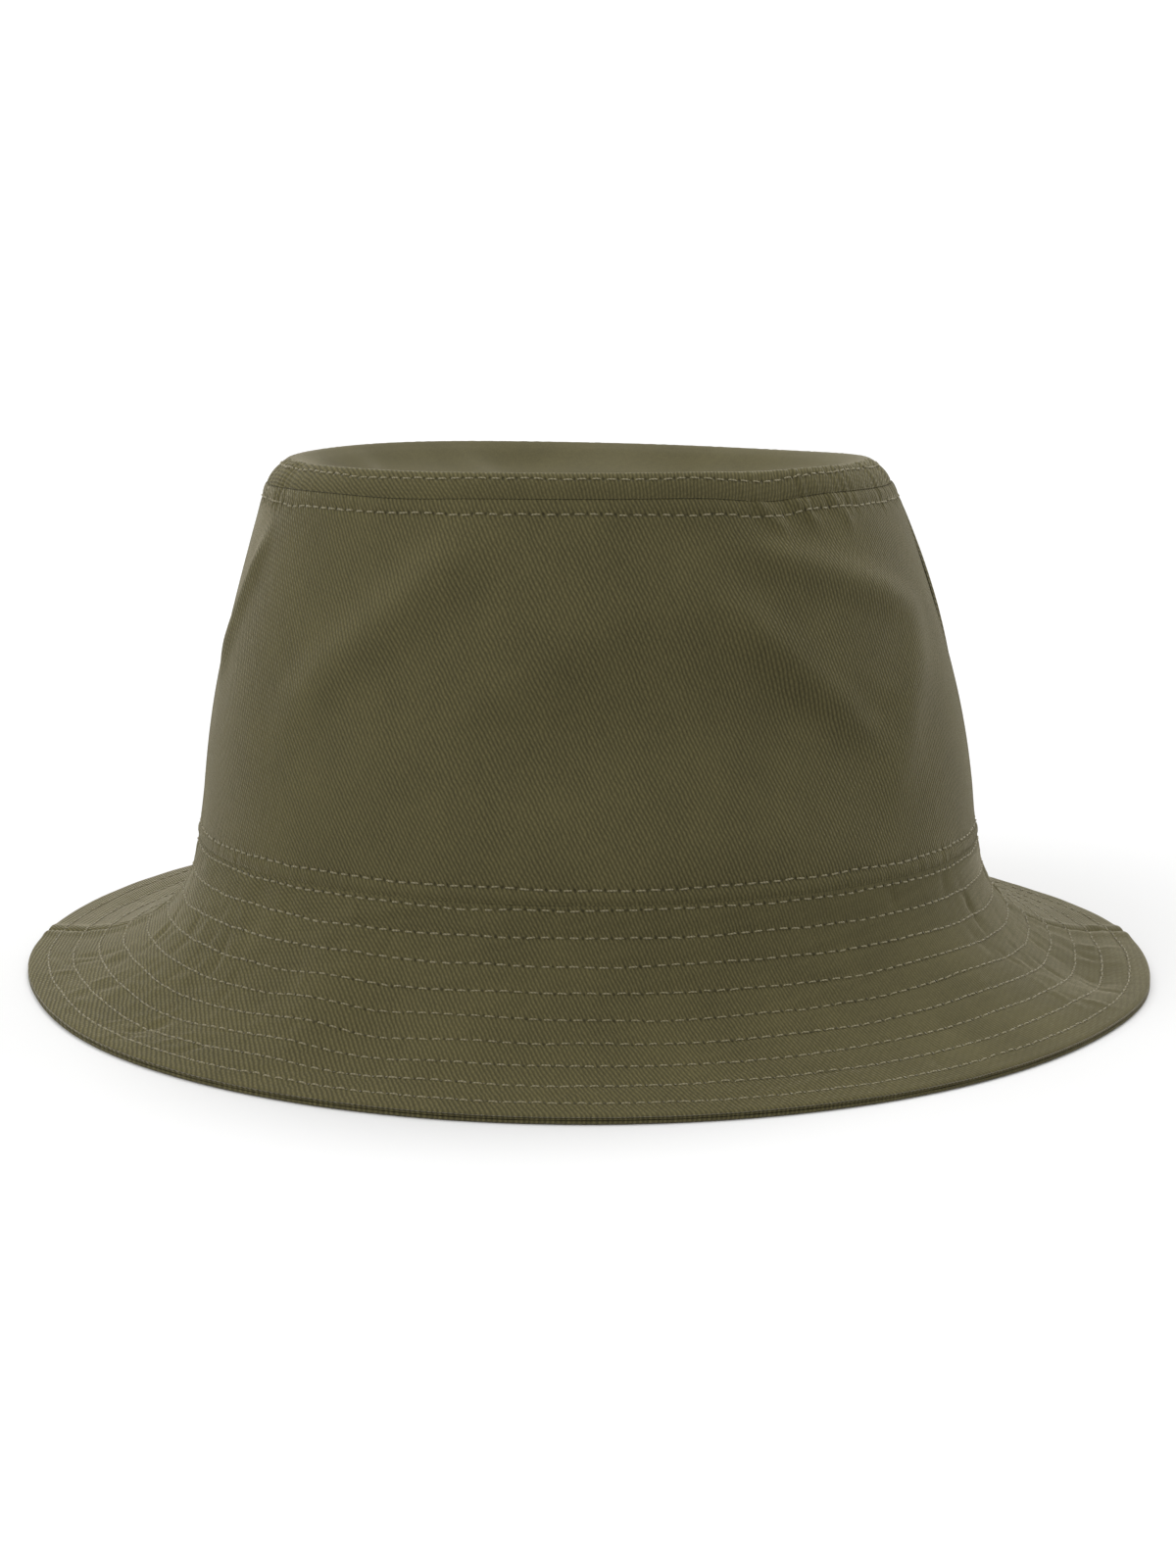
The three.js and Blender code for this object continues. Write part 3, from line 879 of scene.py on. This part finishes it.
def tip_panel():
    """The top panel, closed by a fan in the middle."""
    edge, ridge, bowl = np.linspace(0, 0.43, 26), np.linspace(0.43, 0.6, 14), np.linspace(0.6, 0.99, 34)
    shares = np.concatenate([edge, ridge[1:], bowl[1:]])
    angle, share = np.meshgrid(np.linspace(0, TAU, 541)[:-1], shares, indexing="ij")
    outer, inner = tip_layer(angle, share, 0.0), tip_layer(angle, share, CLOTH)
    weave = tip_weave(angle, share)
    # the bowl's ribs are pressed flat and darkened; the darkening is painted shade
    pressed_and_shaded = smoothstep(0.4, 0.5, share)
    sewing = sewing_coordinates(tip_layer, angle, share, TIP_RIDGE_LENGTH, [TIP_ROW], pressed_and_shaded)
    piece = shell("tip", outer, inner, weave, sewing, wrap=True, crown_point=True)
    return finish_piece(piece, ["tip_panel"], TOP_CLOTH)


def sewn_inside(name, node, angles, shares, depths, material, wrap):
    """A flat piece that lies against the inside of the crown wall."""
    angle, share = np.meshgrid(angles, shares, indexing="ij")
    weave = turned(angle * CROWN_RADIUS, share * CROWN_HEIGHT, BAND_WALE_TILT)
    outer, inner = band_layer(angle, share, depths[0]), band_layer(angle, share, depths[1])
    piece = shell(name, outer, inner, weave, wrap=wrap)
    return finish_piece(piece, [node], material)


def ring_band(name, node, shares, depths, material):
    """A band that runs all the way round."""
    return sewn_inside(name, node, np.linspace(0, TAU, 361)[:-1], shares, depths, material, True)


def strip(name, node, centre, width, shares, depths, material):
    """A piece of the given width, centred at one angle."""
    reach = width / (2 * BASE["half_width"])
    angles = np.linspace(centre - reach, centre + reach, 33)
    return sewn_inside(name, node, angles, shares, depths, material, False)


# ------------------------------------------------------------------ stitches
def thread_points(face, depth, sign, angle, lane, sink, along, turn):
    """Rings of points round threads that follow a face, each thread thinner towards its two ends."""
    core = face(angle, lane, depth)
    above = face(angle, lane, depth - 0.5 * MM) - core
    above *= sign / np.linalg.norm(above, axis=-1, keepdims=True)
    core = core + above * sink[..., None]
    heading = np.gradient(core, axis=1)
    heading /= np.linalg.norm(heading, axis=-1, keepdims=True)
    side = np.cross(heading, above)
    side /= np.linalg.norm(side, axis=-1, keepdims=True)
    lift = np.cross(side, heading)
    radius = THREAD_RADIUS * np.sqrt(np.clip(1 - (1.96 * along) ** 8, 0.05, 1))
    ring = core[:, :, None, :] + radius[None, :, None, None] * (
        side[:, :, None, :] * np.cos(turn)[None, None, :, None]
        + lift[:, :, None, :] * np.sin(turn)[None, None, :, None])
    ring[..., 2] = np.maximum(ring[..., 2], 0.02 * MM)
    return ring


def thread_quads(count, start):
    """The faces of closed threads whose rings of points are numbered from start."""
    base = start + (np.arange(count) * THREAD_RINGS * THREAD_SIDES)[:, None, None]
    ring, side = np.meshgrid(np.arange(THREAD_RINGS - 1), np.arange(THREAD_SIDES), indexing="ij")
    a = base + ring * THREAD_SIDES + side
    b = base + ring * THREAD_SIDES + (side + 1) % THREAD_SIDES
    quads = [np.stack([a, b, b + THREAD_SIDES, a + THREAD_SIDES], -1).reshape(-1, 4)]
    first = base[:, 0, 0]
    last = first + (THREAD_RINGS - 1) * THREAD_SIDES
    for end, order in ((first, (3, 2, 1, 0)), (last, (0, 1, 2, 3))):
        for half in ((0, 1, 2, 3), (0, 3, 4, 5)):
            quads.append(np.stack([end + half[corner] for corner in order], -1))
    return np.concatenate(quads)


def stitch_row(name, node, layer, row, length, under=None):
    """One machine-sewn row: short thread arcs that dive into the cloth at both ends. Under is the
    layer and depth of the face below that shows the same row."""
    share, seed = row
    random = np.random.default_rng(seed)
    fine, gone = travelled(layer, share)
    count = int(gone[-1] / STITCH_PITCH)
    centres = (np.arange(count) + 0.5) * STITCH_PITCH + random.normal(0, 0.07 * MM, count)
    lengths = STITCH_LENGTH * random.uniform(0.88, 1.12, count)
    drift = random.normal(0, 0.07 * MM, (count, 2))
    tall = random.uniform(0.5, 1.0, count)
    along = np.linspace(-0.5, 0.5, THREAD_RINGS)
    turn = np.linspace(0, TAU, THREAD_SIDES, endpoint=False)
    place = centres[:, None] + lengths[:, None] * along[None, :]
    angle = np.interp(place % gone[-1], gone, fine)
    astray = row_wander(seed, place % gone[-1], gone[-1])
    lane = share + (astray + drift[:, :1] * (0.5 - along) + drift[:, 1:] * (0.5 + along)) / length
    bow = 1 - (2 * along) ** 4
    sink = (-0.9 + (0.95 + 0.85 * tall[:, None]) * bow) * THREAD_RADIUS
    travel, twist = np.broadcast_arrays(place[:, :, None] / MM, turn[None, None, :])
    one_weave = np.stack([travel, twist, 0 * twist], -1).reshape(-1, 3)
    faces = [(layer, 0.0, 1.0)] + ([(*under, -1.0)] if under is not None else [])
    points, weave, quads = [], [], []
    for face, depth, sign in faces:
        quads.append(thread_quads(count, sum(len(part) for part in points)))
        points.append(thread_points(face, depth, sign, angle, lane, sink, along, turn).reshape(-1, 3))
        weave.append(one_weave)
    points, quads, weave = np.concatenate(points), np.concatenate(quads), np.concatenate(weave)
    if not looks_out(points, quads):
        quads = quads[:, ::-1]
    piece = build_mesh(name, points, quads, weave, np.broadcast_to(UNSEWN, points.shape))
    return finish_piece(piece, [node], THREAD)


# ------------------------------------------------------------------ assembly
TOP_SHARES = brim_shares(-0.014, 1, 8)
UNDER_SHARES = brim_shares(0.0, 1, 8)
LINING_SHARES = brim_shares(0.01, 0.965, 5)
for side, start in HALVES.items():
    crown_panel(side, start)
    brim_panel(f"brim_top_{side}", f"upper_brim_{side}", start, brim_layer, (0.0, CLOTH),
               OUTER, TOP_SHARES, 500)
    brim_panel(f"brim_lining_{side}", f"brim_stiffener_{side}", start + LINING_STEP, lining_layer,
               STIFFENER, LINING, LINING_SHARES, 180)
    brim_panel(f"brim_under_{side}", f"under_brim_{side}", start, under_layer, UNDER_BRIM,
               SHADED_UNDER, UNDER_SHARES, 400)
tip_panel()
ring_band("inner_band", "sweatband", np.linspace(0.012, 0.34, 30), SWEATBAND, BAND)
ring_band("top_seam_tape", "tip_seam_binding", np.linspace(0.9, 0.994, 10), TAPE, TAPE_CLOTH)
for side, centre in (("right", 0.0), ("left", math.pi)):
    strip(f"side_seam_tape_{side}", f"side_seam_binding_{side}", centre, 8 * MM, np.linspace(0.012, 0.88, 60),
          TAPE, TAPE_CLOTH)
strip("blank_main_label", "main_label", math.pi / 2, 50 * MM, np.linspace(0.09, 0.28, 16), LABEL,
      SATIN)

label_low, label_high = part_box("care_label")


def care_label():
    """A thin tape label that hangs by its top edge, bowed a little away from the wall."""
    across, down = np.linspace(label_low.y, label_high.y, 21), np.linspace(0, 1, 33)
    width, drop = np.meshgrid(across, down, indexing="ij")
    z = label_high.z + (label_low.z - label_high.z) * drop
    bow = 0.6 * MM * np.sin(math.pi * drop) * smoothstep(0, 0.2, drop)
    x = (label_low.x + label_high.x) / 2 + bow
    half = 0.15 * MM
    outer, inner = np.stack([x + half, width, z], -1), np.stack([x - half, width, z], -1)
    piece = shell("blank_care_label", outer, inner, turned(width, z, 45))
    finish_piece(piece, ["care_label"], SATIN, "care_label_tape")


care_label()

stitch_row("stitches_tip", "tip_topstitch", tip_layer, TIP_ROW, TIP_RIDGE_LENGTH)
stitch_row("stitches_crown_base", "crown_base_topstitch", crown_layer, CROWN_ROWS[0], CROWN_HEIGHT)
stitch_row("stitches_crown_top", "crown_top_topstitch", crown_layer, CROWN_ROWS[1], CROWN_HEIGHT)
for number, row in enumerate(BRIM_ROWS, 1):
    stitch_row(f"stitches_brim_{number}", f"brim_stitch_row_{number}", brim_layer, row, BRIM_LENGTH,
               under=(under_layer, UNDER_BRIM[1]))


# ------------------------------------------------------------------ stage, light and camera
FLOOR_TONE = 0.9


def floor():
    """A pale floor that fills every view."""
    mesh = bpy.data.meshes.new("floor")
    reach = 12.0
    corners = [(-reach, -reach, 0), (reach, -reach, 0), (reach, reach, 0), (-reach, reach, 0)]
    mesh.from_pydata(corners, [], [(0, 1, 2, 3)])
    plane = bpy.data.objects.new("floor", mesh)
    bpy.context.scene.collection.objects.link(plane)
    shader = Shader("pale_floor", roughness=1.0, specular=0.0)
    shader.surface.inputs["Base Color"].default_value = (FLOOR_TONE, FLOOR_TONE, FLOOR_TONE, 1)
    mesh.materials.append(shader.material)
    # the floor throws no light back up at the hat
    plane.visible_diffuse = False


def sun(name, azimuth, elevation, strength, softness):
    """A soft distant light. Azimuth 270 degrees is in front of the hat."""
    data = bpy.data.lights.new(name, "SUN")
    data.energy = strength
    data.angle = math.radians(softness)
    light = bpy.data.objects.new(name, data)
    turn, climb = math.radians(azimuth), math.radians(elevation)
    towards = Vector((math.cos(turn) * math.cos(climb), math.sin(turn) * math.cos(climb), math.sin(climb)))
    light.rotation_euler = towards.to_track_quat("Z", "Y").to_euler()
    bpy.context.scene.collection.objects.link(light)


def sky(heights, sides, back):
    """A studio all round. Its brightness climbs from below through the horizon to overhead, and is
    raised by so much towards both sides and towards the back."""
    world = bpy.data.worlds.new("studio")
    world.use_nodes = True
    tree = world.node_tree
    nodes, links = tree.nodes, tree.links
    split = nodes.new("ShaderNodeSeparateXYZ")
    links.new(nodes.new("ShaderNodeTexCoord").outputs["Generated"], split.inputs[0])
    ramp = nodes.new("ShaderNodeValToRGB")
    ramp.color_ramp.elements[0].position = 0.45
    ramp.color_ramp.elements[1].position = 1.0
    ramp.color_ramp.elements.new(0.52)
    top = max(heights)
    for element, value in zip(ramp.color_ramp.elements, heights):
        element.color = (value / top, value / top, value / top, 1)
    links.new(maths_node(tree, "MULTIPLY_ADD", split.outputs["Z"], 0.5, 0.5), ramp.inputs[0])
    links.new(ramp.outputs[0], nodes["Background"].inputs["Color"])
    aside = maths_node(tree, "POWER", maths_node(tree, "ABSOLUTE", split.outputs["X"]), 1.5)
    behind = maths_node(tree, "MAXIMUM", split.outputs["Y"], 0.0)
    raised = maths_node(tree, "MULTIPLY_ADD", behind, back * top, top)
    raised = maths_node(tree, "MULTIPLY_ADD", aside, sides * top, raised)
    links.new(raised, nodes["Background"].inputs["Strength"])
    bpy.context.scene.world = world


def camera(distance, pitch, lens, height, depth):
    """Looks at a point over the middle of the floor, from the front and above."""
    data = bpy.data.cameras.new("camera")
    data.sensor_width = 36
    data.lens = lens
    view = bpy.data.objects.new("camera", data)
    target = Vector((0, depth, height))
    view.location = target + Vector((0, -math.cos(pitch), math.sin(pitch))) * distance
    view.rotation_euler = (target - view.location).to_track_quat("-Z", "Y").to_euler()
    bpy.context.scene.collection.objects.link(view)
    bpy.context.scene.camera = view


floor()
sun("key", azimuth=218, elevation=38, strength=0.74, softness=40)
sun("back", azimuth=78, elevation=60, strength=1.1, softness=24)
sky(heights=(0.18, 0.55, 0.39), sides=1.45, back=1.45)
camera(distance=1.571, pitch=math.radians(12.69), lens=160.5825, height=43.5 * MM, depth=-5.5 * MM)
bpy.context.scene.view_settings.view_transform = "Standard"
